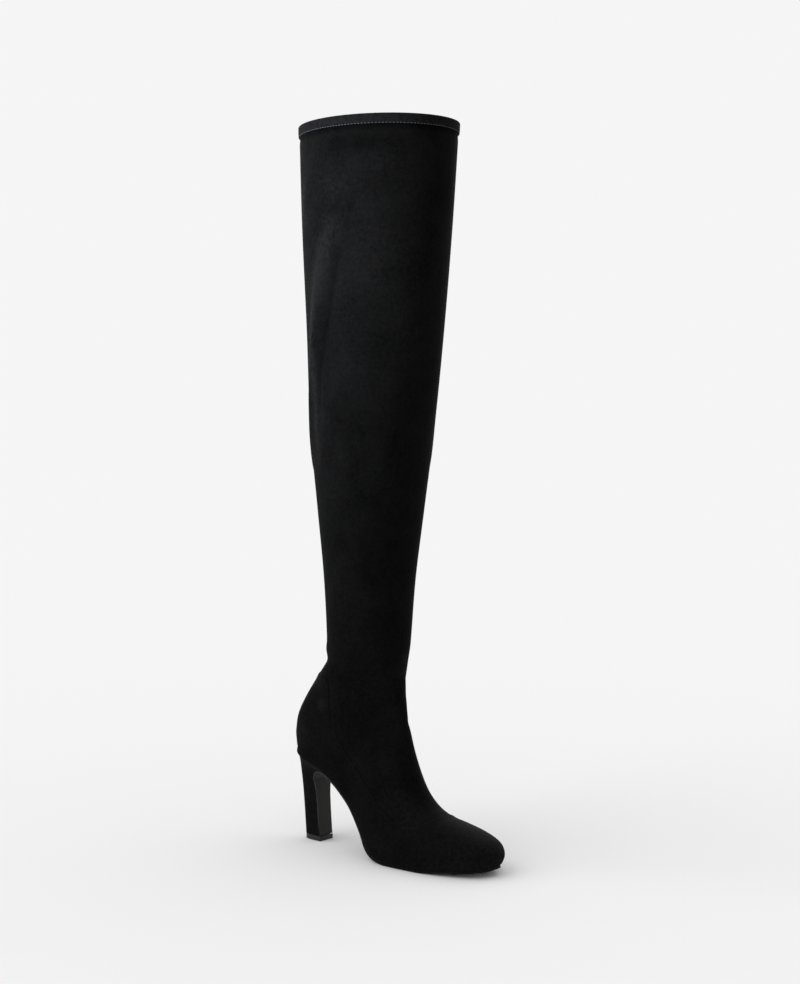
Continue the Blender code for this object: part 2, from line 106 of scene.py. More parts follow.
# The sole's edge: half width between heel seat and toe, as a share of the ball width
Half = namedtuple("Half", "along width")
SOLE_HALF = [
    Half(0.118, 0.298), Half(0.220, 0.300), Half(0.330, 0.295), Half(0.410, 0.335),
    Half(0.480, 0.392), Half(0.550, 0.418), Half(0.620, 0.422), Half(0.700, 0.416),
]

# The sole's middle line: how far it swings to the inner side, as a share of the ball width
Swing = namedtuple("Swing", "along inward")
SOLE_SWING = [
    Swing(0.000, 0.000), Swing(0.380, 0.000), Swing(0.500, -0.020), Swing(0.600, -0.025),
    Swing(0.720, -0.014), Swing(0.850, 0.008), Swing(1.000, 0.020),
]

# Sections of the foot from toe to heel seat. low and top: where the section meets sole edge and
# ridge (foot lengths); height of the ridge (heel heights); wide: half width at its widest (ball
# widths), found at wide_at of the way up; crown: how full its top is; inward: lean of the ridge
FootRow = namedtuple("FootRow", "low top height wide wide_at crown inward")
FOOT_ROWS = [
    FootRow(0.985, 0.985, 0.108, 0.000, 0.45, 0.60, 0.020),
    FootRow(0.977, 0.995, 0.225, 0.134, 0.45, 0.60, 0.020),
    FootRow(0.955, 0.966, 0.318, 0.254, 0.42, 0.62, 0.020),
    FootRow(0.917, 0.926, 0.372, 0.340, 0.40, 0.62, 0.022),
    FootRow(0.859, 0.863, 0.424, 0.407, 0.38, 0.60, 0.025),
    FootRow(0.796, 0.787, 0.467, 0.458, 0.36, 0.58, 0.028),
    FootRow(0.694, 0.712, 0.514, 0.488, 0.34, 0.54, 0.030),
    FootRow(0.600, 0.660, 0.593, 0.500, 0.34, 0.50, 0.026),
    FootRow(0.510, 0.617, 0.735, 0.488, 0.36, 0.48, 0.016),
    FootRow(0.430, 0.589, 0.921, 0.445, 0.38, 0.47, 0.006),
    FootRow(0.330, 0.571, 1.124, 0.396, 0.40, 0.47, 0.000),
    FootRow(0.183, 0.558, 1.303, 0.378, 0.40, 0.50, 0.000),
    FootRow(0.080, 0.549, 1.416, 0.372, 0.40, 0.52, 0.000),
    FootRow(0.027, 0.542, 1.506, 0.372, 0.40, 0.54, 0.000),
    FootRow(0.010, 0.537, 1.573, 0.372, 0.41, 0.55, 0.000),
]

# Sections of the counter, ankle and leg up to the collar. back and front in foot lengths, their
# heights in collar heights, wide in ball widths
LegRow = namedtuple("LegRow", "back back_height front front_height wide wide_at")
LEG_ROWS = [
    LegRow(0.003, 0.141, 0.530, 0.213, 0.378, 0.42),
    LegRow(0.000, 0.154, 0.528, 0.226, 0.384, 0.44),
    LegRow(0.012, 0.178, 0.526, 0.241, 0.396, 0.46),
    LegRow(0.059, 0.206, 0.526, 0.257, 0.415, 0.47),
    LegRow(0.125, 0.236, 0.527, 0.274, 0.439, 0.48),
    LegRow(0.170, 0.258, 0.528, 0.288, 0.457, 0.49),
    LegRow(0.178, 0.290, 0.530, 0.306, 0.470, 0.50),
    LegRow(0.164, 0.380, 0.543, 0.384, 0.524, 0.50),
    LegRow(0.131, 0.478, 0.576, 0.478, 0.598, 0.50),
    LegRow(0.093, 0.587, 0.616, 0.587, 0.671, 0.50),
    LegRow(0.072, 0.725, 0.655, 0.725, 0.732, 0.50),
    LegRow(0.048, 0.870, 0.684, 0.870, 0.805, 0.50),
    LegRow(0.033, 1.011, 0.704, 1.004, 0.860, 0.50),
]

# How full the sections are between their widest points and the sole's edge or back seam, as the
# handle of a cubic curve: less than an ellipse over the edge of the heel seat, so that the counter
# doesn't overhang it, and more round the back
ROUND = 0.5523              # handle length that makes a cubic curve a quarter ellipse
Fullness = namedtuple("Fullness", "section handle")
FULLNESS = [
    Fullness(10.5, ROUND), Fullness(12.0, 0.46), Fullness(13.0, 0.42), Fullness(13.5, 0.50),
    Fullness(13.8, 0.58), Fullness(14.0, 0.68), Fullness(15.5, 0.68), Fullness(17.0, 0.63),
    Fullness(20.0, ROUND),
]

# The upper's top line, where the shaft is sewn on, from the throat to the back seam: the part of
# the half girth that it meets in each section, from the ridge (0) by the widest point (0.5) to
# the sole's edge or back seam (1)
Topline = namedtuple("Topline", "section girth")
TOPLINE = [
    Topline(5.92, 0.000), Topline(6.00, 0.140), Topline(6.25, 0.237), Topline(6.6, 0.285),
    Topline(7.1, 0.318), Topline(7.6, 0.338), Topline(8.4, 0.362), Topline(9.3, 0.420),
    Topline(10.1, 0.464), Topline(10.7, 0.470), Topline(12.0, 0.446), Topline(13.4, 0.436),
    Topline(14.2, 0.438), Topline(15.5, 0.462), Topline(17.2, 0.490), Topline(18.2, 0.532),
    Topline(18.7, 0.600), Topline(19.05, 0.740), Topline(19.4, 1.000),
]

# Rows of the fine surfaces: how many there are up to each section
Stretch = namedtuple("Stretch", "end rows")
TOE_STRETCHES = [Stretch(2, 28), Stretch(TOPLINE[0].section, 36)]
TOPLINE_STRETCHES = [
    Stretch(6.4, 14), Stretch(8, 22), Stretch(11, 30), Stretch(14, 30), Stretch(18, 30),
    Stretch(18.7, 10), Stretch(TOPLINE[-1].section, 18),
]
LEG_RINGS = 110
UPPER_COLUMNS = 44
EDGE_CROWDING = 1.35        # how much closer columns lie toward the top line
SHAFT_COLUMNS = 76
SOLE_COLUMNS = 24
HEEL_SIDE = 36
HEEL_PATH_POINTS = 44

# The seam where the upper laps over the shaft, and the seam down the back
LAP_RISE = 0.45 * MM        # how far the lapped edge of the upper stands out
LAP_REACH = 5.0 * MM
LAP_ROUND = 0.7 * MM        # width of the edge's rounding
LAP_DROP = 1.6              # how far the edge turns down, in rises
LAP_HIGHLIGHT = 0.30              # painted highlight beside the lapped edge: how much lighter it is
LAP_HIGHLIGHT_AT = 0.4 * MM
LAP_HIGHLIGHT_REACH = 0.7 * MM
SHAFT_DIP = 0.40 * MM       # how far the shaft is drawn in beside the lap
DIP_REACH = 2.6 * MM
BACK_GROOVE = 0.55 * MM
GROOVE_WIDTH = 1.0 * MM
HEM_VALLEY = 0.7 * MM       # how far the stitches pull the shaft in under the hem
VALLEY_REACH = 1.8 * MM
GROOVE_SWELL = 0.25 * MM    # the turned allowance on both sides of the back seam
SWELL_AT = 3.4 * MM
SWELL_WIDTH = 2.2 * MM
SEAM_START = 0.2            # sections above the heel seat where the back seam begins
SEAM_BLEND = 1.5            # sections over which it comes in

# Soft folds of the stretch cloth: a line through places on the surface (section, girth), half its
# width and how high it stands (or sinks, if negative), both in millimetres. Negative girth is the
# outer side
Fold = namedtuple("Fold", "line width height")
FOLDS = [
    # the long crease down the outer side of the shaft, a ridge behind it and its swell in front
    Fold([(26.15, -0.46), (25.56, -0.495), (25.0, -0.55), (24.4, -0.60), (23.8, -0.605)], 3.2, -2.1),
    Fold([(25.98, -0.515), (25.6, -0.57), (25.1, -0.625), (24.4, -0.70), (23.5, -0.80)], 7.0, 2.3),
    Fold([(26.0, -0.40), (25.2, -0.47), (24.4, -0.54)], 9.0, 0.6),
    # slack cloth under the hem
    Fold([(26.75, -0.47), (26.3, -0.40), (25.9, -0.42)], 6.0, -1.0),
    Fold([(26.70, -0.36), (26.45, -0.30), (26.1, -0.28)], 5.0, 0.8),
    Fold([(26.55, -0.62), (26.2, -0.68), (25.7, -0.74)], 6.0, 1.0),
    Fold([(26.6, 0.28), (26.0, 0.38), (25.2, 0.42)], 7.0, -1.0),
    Fold([(26.6, 0.45), (25.9, 0.52), (25.1, 0.56)], 8.0, 1.0),
    # the front of the leg
    Fold([(24.9, -0.16), (24.0, -0.22), (23.0, -0.28)], 10.0, 0.8),
    Fold([(23.6, 0.20), (24.2, 0.32), (24.9, 0.45)], 11.0, 0.9),
    Fold([(22.6, -0.40), (22.2, -0.55), (21.6, -0.70)], 7.0, -0.7),
    # the calf
    Fold([(22.7, 0.99), (22.9, 0.72), (23.3, 0.45)], 8.0, -1.1),
    Fold([(23.2, 0.99), (23.5, 0.74), (23.9, 0.50)], 8.0, 0.8),
    # behind and beside the ankle
    Fold([(20.2, -1.00), (20.1, -0.76), (19.8, -0.52)], 4.5, -1.2),
    Fold([(20.2, 1.00), (20.1, 0.76), (19.8, 0.52)], 4.5, -1.2),
    Fold([(20.9, -0.99), (20.7, -0.72), (20.3, -0.45)], 5.0, 0.8),
    Fold([(20.9, 0.99), (20.6, 0.74), (20.2, 0.48)], 5.0, 0.8),
    Fold([(17.0, -0.08), (17.8, -0.26), (18.4, -0.44)], 5.5, -0.9),
    Fold([(17.0, 0.08), (17.9, 0.28), (18.6, 0.48)], 5.5, -0.9),
    # across the instep
    Fold([(15.0, 0.02), (15.7, -0.18), (16.4, -0.36)], 5.5, 0.7),
    Fold([(14.6, -0.02), (15.2, 0.20), (15.8, 0.38)], 5.5, 0.7),
    Fold([(12.6, -0.02), (12.2, -0.18), (11.6, -0.34)], 5.0, -0.7),
    Fold([(12.4, 0.02), (12.0, 0.18), (11.5, 0.34)], 5.0, -0.7),
    Fold([(9.6, -0.12), (10.4, -0.26), (11.2, -0.36)], 4.5, 0.5),
]

# Places where the suede's colour is drawn lighter (or, if negative, darker); those marked below are
# painted highlights and painted shade. Each is a spot or a line on the surface, how far it reaches
# in millimetres, and how much lighter it is
Patch = namedtuple("Patch", "line reach lift")
PATCHES = [
    # toe and vamp
    Patch([(1.6, 0.15)], 18, 0.70), Patch([(2.8, 0.00)], 26, 0.45), Patch([(4.4, 0.10)], 22, 0.45),
    Patch([(4.2, -0.45)], 28, 0.30), Patch([(6.9, -0.20)], 15, 0.42), Patch([(8.3, -0.22)], 15, 0.42),
    Patch([(9.9, -0.24)], 10, 0.25), Patch([(7.6, -0.62)], 18, 0.15), Patch([(8.6, 0.30)], 18, 0.30),
    # painted light reflected from the floor along the low outer side of the toe and vamp
    Patch([(0.8, -0.80), (3.0, -0.86), (6.5, -0.88)], 8, 0.45),
    # counter and ankle
    Patch([(17.4, -0.545), (16.4, -0.53)], 5, 0.75), Patch([(15.6, -0.72)], 13, 0.45),
    # painted highlights along the outline behind the ankle and down the front of the instep
    Patch([(18.9, -0.72)], 9, 0.70), Patch([(19.3, 0.06), (17.0, 0.02)], 8, 0.90),
    Patch([(14.6, -0.56)], 10, 0.15), Patch([(13.0, -0.30)], 18, -0.20),
    Patch([(20.8, -0.20)], 22, -0.15), Patch([(16.8, 0.70)], 12, 0.35),
    # painted highlights on the ridge behind the long crease and along the outline below it, and painted shade
    # in the crease itself
    Patch([(26.05, -0.48), (25.7, -0.55), (25.3, -0.62), (24.9, -0.67)], 9, 0.85),
    Patch([(25.3, -0.64), (24.9, -0.665), (24.4, -0.65), (23.9, -0.64), (23.5, -0.635)], 5, 0.85),
    Patch([(25.8, -0.465), (25.4, -0.50), (25.0, -0.54), (24.4, -0.60)], 4, -0.40),
    # shaft: the dark place just under the hem (the first) is a painted shadow, and the light line along the
    # outer outline below the hem (the third) is a painted highlight
    Patch([(26.74, -0.52), (26.70, -0.30)], 8, -0.35), Patch([(26.4, -0.58), (26.25, -0.40)], 14, 0.28),
    Patch([(26.5, -0.70), (25.9, -0.72)], 10, 0.60), Patch([(26.6, -0.34), (26.4, -0.24)], 12, 0.18),
    Patch([(25.6, -0.34)], 34, 0.20), Patch([(26.3, 0.02)], 18, -0.30), Patch([(24.0, -0.30)], 44, -0.18),
    Patch([(22.6, -0.30)], 44, -0.20), Patch([(25.2, 0.50)], 34, 0.25), Patch([(22.8, 0.62)], 28, 0.15),
]

# How much lighter the nap is on the covered heel, the painted highlight on the hem, and the hem's stitches
HEEL_NAP = 0.45
HEM_HIGHLIGHT = 0.65
STITCH_LINE_SHADE = -0.40         # painted shade along the stitch line at the foot of the hem
CHANNEL_REACH = 1.7 * MM
STITCH_PITCH = 3.2 * MM
STITCH_LENGTH = 2.5 * MM
THREAD_RADIUS = 0.28 * MM
STITCH_CLIMB = 1.1 * MM     # above the foot of the hem
STITCH_STAND = 0.70 * MM    # out from the shaft's surface
STITCH_RINGS = 7
STITCH_SIDES = 6

# The photograph's view: where its camera stood, what the frame's middle looks at, focal length for
# a 36 mm long side, and its slight roll
CAMERA_AT = Vector((0.897, -1.024, 0.3475))
LOOK_AT = Vector((0.095, 0.0, 0.335))
FOCAL_LENGTH = 51.7
CAMERA_ROLL = np.radians(0.78)

# Studio: light of the white room (radiance), one wide soft light and a fill from behind (watts a
# square metre), and a softbox near the collar (watts)
PAPER = "#f2f2f2"
ROOM_LIGHT = 0.875
WIDE_LIGHT = 0.80
WIDE_LIGHT_FROM = Vector((-0.47, -0.64, 0.60))
WIDE_LIGHT_SPREAD = np.radians(60)
COLLAR_LIGHT = 3.7
COLLAR_LIGHT_AT = Vector((-0.15, -0.72, 0.64))
COLLAR_LIGHT_TO = Vector((0.05, 0.0, 0.62))
COLLAR_LIGHT_SPREAD = np.radians(75)
COLLAR_LIGHT_SIZE = (0.35, 0.50)
COLLAR_LIGHT_TINT = (0.88, 0.91, 1.0)   # cool daylight
BACK_LIGHT = 2.2
BACK_LIGHT_FROM = Vector((-0.60, 0.80, 0.40))
BACK_LIGHT_SPREAD = np.radians(50)

SEAT_ROW = len(FOOT_ROWS) - 1
COLLAR_ROW = len(FOOT_ROWS) + len(LEG_ROWS) - 1

BOOT = bpy.data.collections.new("boot")


def smooth_line(knots, values, at):
    """A smooth curve through the knots that never swings past them, read at the given places."""
    knots, values = np.asarray(knots, float), np.asarray(values, float)
    step = np.diff(knots)
    slope = np.diff(values) / step
    tangent = np.zeros_like(values)
    same_way = slope[1:] * slope[:-1] > 0
    mean = 2 * slope[1:] * slope[:-1] / np.where(same_way, slope[1:] + slope[:-1], 1)
    tangent[1:-1] = np.where(same_way, mean, 0)
    tangent[0], tangent[-1] = slope[0], slope[-1]
    at = np.clip(at, knots[0], knots[-1])
    i = np.clip(np.searchsorted(knots, at, side="right") - 1, 0, len(step) - 1)
    t = (at - knots[i]) / step[i]
    bend = t * t * (3 - 2 * t)
    return (
        values[i] * (1 - bend) + values[i + 1] * bend
        + step[i] * t * (1 - t) * (tangent[i] * (1 - t) - tangent[i + 1] * t)
    )


def column(rows, name):
    return [getattr(row, name) for row in rows]


def level(along):
    """Distance ahead of the heel's middle of a share of the foot length."""
    return (np.asarray(along) - HEEL_CENTRE) * FOOT_LENGTH


def share(x):
    return np.asarray(x) / FOOT_LENGTH + HEEL_CENTRE


def sole_rise(along):
    return HEEL_HEIGHT * smooth_line(column(SOLE_RISE, "along"), column(SOLE_RISE, "height"), along)


def sole_swing(along):
    return BALL_WIDTH * smooth_line(column(SOLE_SWING, "along"), column(SOLE_SWING, "inward"), along)


def sole_half(along):
    """Half width of the sole's edge: a round heel seat, a waist and an elliptic toe."""
    along = np.asarray(along, float)
    width = smooth_line(column(SOLE_HALF, "along"), column(SOLE_HALF, "width"), along)
    seat = np.clip((SEAT_WIDEST - along) / (SEAT_WIDEST - SEAT_BACK), 0, 1)
    toe = np.clip((along - TOE_START) / (TOE_END - TOE_START), 0, 1)
    return BALL_WIDTH * width * np.sqrt(1 - seat ** 2) * np.sqrt(1 - toe ** 2)


def section_table():
    """One line per section: low x, low z, top x, top z, widest half width, where it is widest,
    crown, top y."""
    lines = []
    for row in FOOT_ROWS:
        lines.append((
            level(row.low), sole_rise(row.low), level(row.top), row.height * HEEL_HEIGHT,
            row.wide * BALL_WIDTH, row.wide_at, row.crown, row.inward * BALL_WIDTH,
        ))
    for row in LEG_ROWS:
        lines.append((
            level(row.back), row.back_height * COLLAR_HEIGHT,
            level(row.front), row.front_height * COLLAR_HEIGHT,
            row.wide * BALL_WIDTH, row.wide_at, ROUND, 0,
        ))
    return np.array(lines, float)


SECTIONS = section_table()


def section_at(place):
    """Section sizes at any place along the rows, on a curve through the rows."""
    tangent = np.gradient(SECTIONS, axis=0)
    i = np.clip(place.astype(int), 0, len(SECTIONS) - 2)
    t = (place - i)[..., None]
    bend = t * t * (3 - 2 * t)
    return (
        SECTIONS[i] * (1 - bend) + SECTIONS[i + 1] * bend
        + t * (1 - t) * (tangent[i] * (1 - t) - tangent[i + 1] * t)
    )


def cubic(a, b, c, d, t):
    return a * (1 - t) ** 3 + 3 * b * t * (1 - t) ** 2 + 3 * c * t ** 2 * (1 - t) + d * t ** 3


def last_surface(place, girth):
    """Outer surface of the boot. girth runs from -1 to 1 round a section: 0 on the ridge, half
    way at the widest points, 1 and -1 on the sole's two edges or together at the back seam."""
    sizes = np.moveaxis(section_at(place), -1, 0)
    low_x, low_z, top_x, top_z, wide, wide_at, crown, top_y = sizes
    along = share(low_x)
    on_sole = place <= SEAT_ROW
    low_z = np.where(on_sole, sole_rise(along), low_z)
    edge = np.where(on_sole, sole_half(along), 0)
    low_y = np.where(on_sole, sole_swing(along), 0)
    fullness = smooth_line(column(FULLNESS, "section"), column(FULLNESS, "handle"), place)
    tilt = COLLAR_TILT * np.clip(1 - (COLLAR_ROW - place) / TILT_ROWS, 0, 1) ** 2
    turn = np.abs(girth)
    upper_part = np.clip(2 * turn, 0, 1)
    lower_part = np.clip(2 * turn - 1, 0, 1)
    is_upper = turn <= 0.5
    half = np.where(
        is_upper,
        cubic(0, crown * wide, wide, wide, upper_part),
        cubic(wide, wide, edge + fullness * (wide - edge), edge, lower_part),
    )
    up = np.where(
        is_upper,
        cubic(1, 1, wide_at + ROUND * (1 - wide_at), wide_at, upper_part),
        cubic(wide_at, wide_at * (1 - ROUND), 0, 0, lower_part),
    )
    x = low_x + up * (top_x - low_x)
    y = low_y + up * (top_y - low_y) + np.sign(girth) * half
    z = low_z + up * (top_z - low_z) + tilt * y
    return np.stack([x, y, z], axis=-1)


def topline_girth(place):
    return smooth_line(column(TOPLINE, "section"), column(TOPLINE, "girth"), place)


def stations(start, stretches):
    """Places along the rows where rows of the fine surface lie."""
    places = [start]
    for stretch in stretches:
        places.extend(np.linspace(places[-1], stretch.end, stretch.rows + 1)[1:])
    return np.array(places)


def outward(place, girth):
    """Unit normals of the boot's outer surface."""
    probe = 0.002
    ahead = last_surface(place + probe, girth) - last_surface(np.maximum(place - probe, 0), girth)
    low, high = np.clip(girth - probe, -1, 1), np.clip(girth + probe, -1, 1)
    around = last_surface(place, high) - last_surface(place, low)
    normal = np.cross(around, ahead)
    on_back_seam = (np.abs(girth) == 1) & (place >= SEAT_ROW)
    normal[..., 1] = np.where(on_back_seam, 0, normal[..., 1])
    length = np.linalg.norm(normal, axis=-1, keepdims=True)
    return normal / np.where(length > 1e-15, length, 1)


def nearest(points, line):
    """Distance of each point to the nearest point of a finely sampled line, and where that is."""
    flat = points.reshape(-1, 3)
    distance, index = np.empty(len(flat)), np.empty(len(flat), int)
    for start in range(0, len(flat), 4000):
        part = slice(start, start + 4000)
        gaps = np.linalg.norm(flat[part, None] - line[None], axis=-1)
        index[part] = gaps.argmin(axis=1)
        distance[part] = gaps.min(axis=1)
    return distance.reshape(points.shape[:-1]), index.reshape(points.shape[:-1])


def topline_points():
    place = np.linspace(TOPLINE[0].section, TOPLINE[-1].section, 500)
    girth = topline_girth(place)
    return np.concatenate([last_surface(place, -girth), last_surface(place, girth)])


def bell(distance, reach):
    return np.exp(-(distance / reach) ** 2)


def beside_line(points, stops, reach):
    """1 on a line through places on the surface, fading beside it and toward its ends."""
    place, girth = np.array(stops, float).T
    count = 60 if len(stops) > 1 else 1
    at = np.linspace(0, 1, count)
    if count > 1:
        stop_at = np.linspace(0, 1, len(stops))
        place, girth = smooth_line(stop_at, place, at), smooth_line(stop_at, girth, at)
    distance, index = nearest(points, last_surface(place, girth))
    fade = np.sqrt(4 * at * (1 - at))[index] if count > 1 else 1
    return fade * bell(distance, reach)


def fold_relief(points):
    """Height of the soft troughs and ridges."""
    return sum(fold.height * MM * beside_line(points, fold.line, fold.width * MM) for fold in FOLDS)


def back_seam_relief(points, place, girth):
    """The sunk seam down the back, between the swells of its turned allowance."""
    distance = np.abs(points[..., 1])
    seam = GROOVE_SWELL * bell(distance - SWELL_AT, SWELL_WIDTH) - BACK_GROOVE * bell(distance, GROOVE_WIDTH)
    start = np.clip((place - SEAT_ROW - SEAM_START) / SEAM_BLEND, 0, 1)
    return np.where(np.abs(girth) > 0.7, seam * start, 0)


def nap_and_painted_light_at(points):
    """How much lighter the suede's colour is drawn from place to place, painted highlights and painted shade
    included.
    """
    return sum(patch.lift * beside_line(points, patch.line, patch.reach * MM) for patch in PATCHES)


def upper_grids():
    """Outer and inner half of the upper from the toe to the back seam, with the colour lift of each point,
    painted highlights and shade included.
    """
    places = np.concatenate([stations(0, TOE_STRETCHES), stations(TOPLINE[0].section, TOPLINE_STRETCHES)[1:]])
    line = topline_points()
    down = np.linspace(0, 1, UPPER_COLUMNS + 1) ** EDGE_CROWDING
    grids = []
    for side in (-1, 1):
        top = topline_girth(places)[:, None]
        girth = side * (top + (1 - top) * down[None])[:, ::side]
        place = np.broadcast_to(places[:, None], girth.shape)
        points = last_surface(place, girth)
        distance, _ = nearest(points, line)
        edge = np.clip(1 - distance / LAP_ROUND, 0, 1) ** 2
        relief = LAP_RISE * (bell(distance, LAP_REACH) - LAP_DROP * edge)
        relief += fold_relief(points) + back_seam_relief(points, place, girth)
        # a painted highlight runs along the lapped edge of the top line
        nap = nap_and_painted_light_at(points) + LAP_HIGHLIGHT * bell(distance - LAP_HIGHLIGHT_AT, LAP_HIGHLIGHT_REACH)
        grids.append((points + outward(place, girth) * relief[..., None], nap))
    return grids


def hem_profile():
    """Climb up the hem and step outward along the cloth: out of the valley under the stitches,
    up the band, round the fold and down the inside."""
    radius = HEM_THICKNESS / 2
    crest = HEM_HEIGHT - radius
    band = [
        (0.3 * MM, -0.10 * MM), (0.6 * MM, 0.40 * MM), (0.9 * MM, 0.62 * MM), (1.3 * MM, 0.62 * MM),
        (1.7 * MM, 0.86 * MM), (2.6 * MM, HEM_STEP), (4.5 * MM, 1.04 * HEM_STEP), (6.4 * MM, HEM_STEP),
    ]
    turn = np.linspace(0, np.pi, 11)
    fold = [(crest + radius * np.sin(a), HEM_STEP - radius + radius * np.cos(a)) for a in turn]
    inside = [(h, HEM_STEP - HEM_THICKNESS) for h in np.linspace(crest, 0.6 * MM, 5)[1:]]
    return band + fold + inside


def away_from_leg(ring):
    """Level unit vectors from the middle of a ring to its points."""
    arm = ring - ring.mean(axis=0)
    arm[:, 2] = 0
    return arm / np.linalg.norm(arm, axis=1, keepdims=True)


def hem_rings(spread):
    """Foot and head of the hem as rings on the shaft's surface, and the way out from the leg."""
    top_row_height = (LEG_ROWS[-1].back_height - LEG_ROWS[-2].back_height) * COLLAR_HEIGHT
    hem_place = COLLAR_ROW - HEM_HEIGHT / top_row_height
    foot = last_surface(np.full_like(spread, hem_place), spread)
    head = last_surface(np.full_like(spread, COLLAR_ROW), spread)
    return hem_place, foot, head, away_from_leg(head)


def shaft_grid():
    """The shaft from the throat to the collar and over the fold of its hem."""
    v = np.linspace(-1, 1, 2 * SHAFT_COLUMNS + 1)
    spread = 0.55 * v + 0.45 * np.sin(np.pi / 2 * v)
    spread[[0, -1]] = -1, 1
    hem_place, foot, head, out = hem_rings(spread)
    instep = stations(TOPLINE[0].section, TOPLINE_STRETCHES)
    leg = np.linspace(instep[-1], hem_place, LEG_RINGS + 1)[1:]
    places = np.concatenate([instep, leg])
    girth = spread[None] * topline_girth(places)[:, None]
    place = np.broadcast_to(places[:, None], girth.shape)
    points = last_surface(place, girth)
    distance, _ = nearest(points, topline_points())
    relief = fold_relief(points) + back_seam_relief(points, place, girth)
    relief -= SHAFT_DIP * bell(distance, DIP_REACH)
    relief -= HEM_VALLEY * bell(points[..., 2] - foot[:, 2], VALLEY_REACH)
    # painted shade along the stitch line under the hem
    nap = nap_and_painted_light_at(points) + STITCH_LINE_SHADE * bell(points[..., 2] - foot[:, 2], CHANNEL_REACH)
    points = points + outward(place, girth) * relief[..., None]
    hem, hem_painted_light = [], []
    for climb, step in hem_profile():
        hem.append(foot + (head - foot) * (climb / HEM_HEIGHT) + out * step)
        # the hem gets a painted highlight, with painted shade along the stitch line at its foot
        hem_painted_light.append(np.full(len(spread), STITCH_LINE_SHADE if climb < CHANNEL_REACH else HEM_HIGHLIGHT))
    return np.concatenate([points, hem]), np.concatenate([nap, hem_painted_light])


def breast_x(height):
    """Front of the flap on the heel's breast."""
    return TIP_LENGTH / 2 - BREAST_LEAN * height / BREAST_HEIGHT


def arch_path(t):
    """Side view of the outsole's inner face where it leaves the waist (t = 0) for the breast (t = 1)."""
    step = 0.001
    leave = np.array([level(ARCH_END), sole_rise(ARCH_END) - FIT_GAP])
    before = np.array([level(ARCH_END + step), sole_rise(ARCH_END + step) - FIT_GAP])
    rearward = (leave - before) / np.linalg.norm(leave - before)
    land = np.array([breast_x(BREAST_HEIGHT) - FLAP_THICKNESS, BREAST_HEIGHT])
    upward = np.array([-BREAST_LEAN, BREAST_HEIGHT]) / np.hypot(BREAST_LEAN, BREAST_HEIGHT)
    t = np.asarray(t)[:, None]
    return cubic(leave, leave + rearward * ARCH_HANDLE, land + upward * BREAST_HANDLE, land, t)


def breast_path(t):
    """Side view of the flap's inner face from the end of the arch (t = 0) to the top lift (t = 1)."""
    height = BREAST_HEIGHT + (LIFT_HEIGHT + FIT_GAP - BREAST_HEIGHT) * np.asarray(t)
    return np.stack([breast_x(height) - FLAP_THICKNESS, height], axis=-1)


def heel_climb(x, z):
    """How far a point is on its way from the top lift to the heel seat above it, 0 to 1."""
    foot = LIFT_HEIGHT + FIT_GAP
    return (z - foot) / (sole_rise(share(x)) - FIT_GAP - foot)


def heel_half(climb, x, back_share):
    """Half width of the heel: a slim post with a rounded back that flares late to the seat."""
    flare = np.clip(climb, 0, 1) ** FLARE_POWER
    post = TIP_WIDTH / 2 * (1 - back_share ** BACK_ROUND) ** (1 / BACK_ROUND)
    return post * (1 - flare) + sole_half(share(x)) * flare


def heel_path():
    """Arch and breast in one line from under the waist to the top lift."""
    arch = arch_path(np.linspace(0, 1, HEEL_PATH_POINTS + 1))
    return np.concatenate([arch, breast_path(np.linspace(0, 1, HEEL_PATH_POINTS // 2 + 1))[1:]])


def heel_ring(front, climb):
    """Outline of the heel at one stage of its climb, from the front round the back and home."""
    back_share = np.sin(np.linspace(0, np.pi / 2, HEEL_SIDE + 1))
    back = -TIP_LENGTH / 2 + (level(SEAT_BACK) + TIP_LENGTH / 2) * climb
    x = front + (back - front) * back_share
    foot = LIFT_HEIGHT + FIT_GAP
    z = foot + climb * (sole_rise(share(x)) - FIT_GAP - foot)
    half = heel_half(climb, x, back_share)
    outer = np.stack([x, -half, z], axis=-1)
    inner = np.stack([x, half, z], axis=-1)[::-1]
    return np.concatenate([outer, inner[1:]])


def heel_rings():
    rings = []
    path = heel_path()[::-1]
    along = np.gradient(path, axis=0)
    to_heel = np.stack([-along[:, 1], along[:, 0]], axis=-1) / np.linalg.norm(along, axis=1, keepdims=True)
    for x, z in path + to_heel * FIT_GAP:
        climb = heel_climb(x, z)
        if climb < THIN_EDGE:
            rings.append(heel_ring(x, climb))
            front = x
    rings.append(heel_ring(front, 1.0))
    return rings


def lift_rings():
    back_share = np.sin(np.linspace(0, np.pi / 2, HEEL_SIDE + 1))
    x = TIP_LENGTH / 2 - TIP_LENGTH * back_share
    half = heel_half(0.0, x, back_share)
    rings = []
    for z in (0, LIFT_HEIGHT / 2, LIFT_HEIGHT):
        outer = np.stack([x, -half, np.full_like(x, z)], axis=-1)
        inner = np.stack([x, half, np.full_like(x, z)], axis=-1)[::-1]
        rings.append(np.concatenate([outer, inner[1:]]))
    return rings


def across_rows(x, z, middle, half, columns):
    """A strip's rows of points across the foot."""
    across = np.sin(np.linspace(-np.pi / 2, np.pi / 2, columns + 1))[None, :]
    y = middle[:, None] + half[:, None] * across
    return np.stack([np.broadcast_to(x[:, None], y.shape), y, np.broadcast_to(z[:, None], y.shape)], axis=-1)


